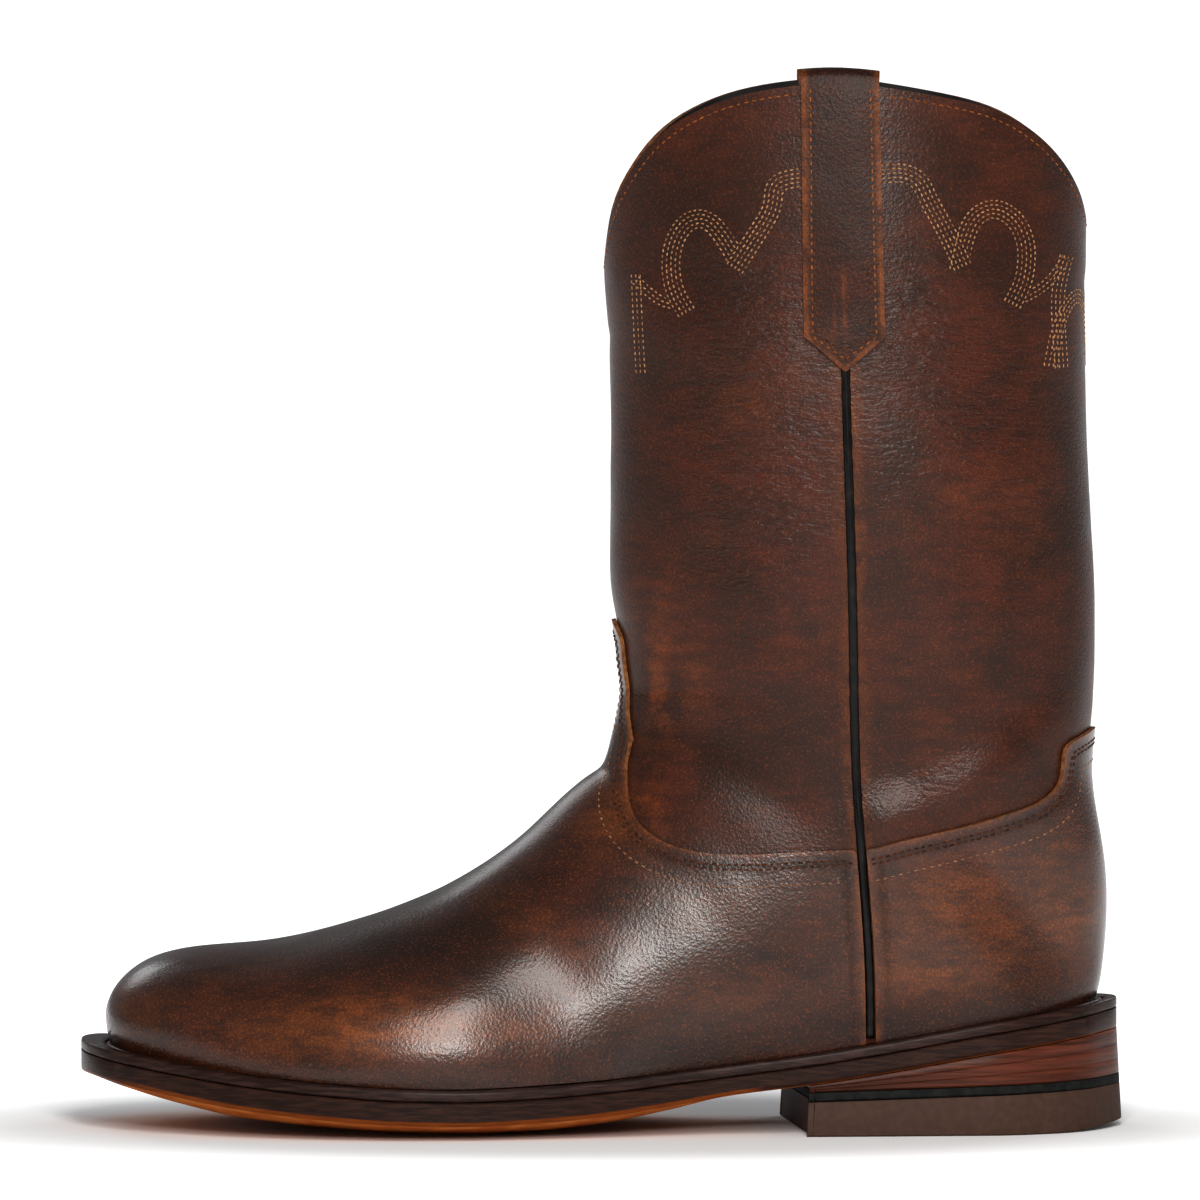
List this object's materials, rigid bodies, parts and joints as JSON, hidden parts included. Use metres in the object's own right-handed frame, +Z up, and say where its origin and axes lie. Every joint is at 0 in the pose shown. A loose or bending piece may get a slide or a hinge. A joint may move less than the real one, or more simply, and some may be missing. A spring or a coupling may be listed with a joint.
{
  "type": "roper boot",
  "caption": "Left roper boot: tall dark brown leather shaft with pull straps and wave stitching, round toe, low stacked heel with a rubber top lift.",
  "frame": {"origin": "middle of the heel's flat tread, on the floor under the heel", "axes": "+X from the toe to the heel, +Y towards the inner side of the foot, +Z up"},
  "size_m": [0.3077, 0.11, 0.3133],
  "materials": {
    "shaft_leather": "satin",
    "vamp_leather": "satin",
    "piping_leather": "satin",
    "insole_leather": "matte",
    "sole_leather": "satin",
    "stack_leather": "satin",
    "black_rubber": "matte",
    "brown_rubber": "matte"
  },
  "bodies": {
    "root": {"upper": "shaft_leather", "vamp": "vamp_leather", "counter": "vamp_leather", "side_piping_lateral": "piping_leather", "side_piping_medial": "piping_leather", "pull_strap_lateral": "shaft_leather", "pull_strap_medial": "shaft_leather", "insole": "insole_leather", "welt": "sole_leather", "outsole": "sole_leather", "heel_stack": "stack_leather", "heel_rubber_layer": "black_rubber", "top_lift": "brown_rubber"}
  },
  "joints": []
}
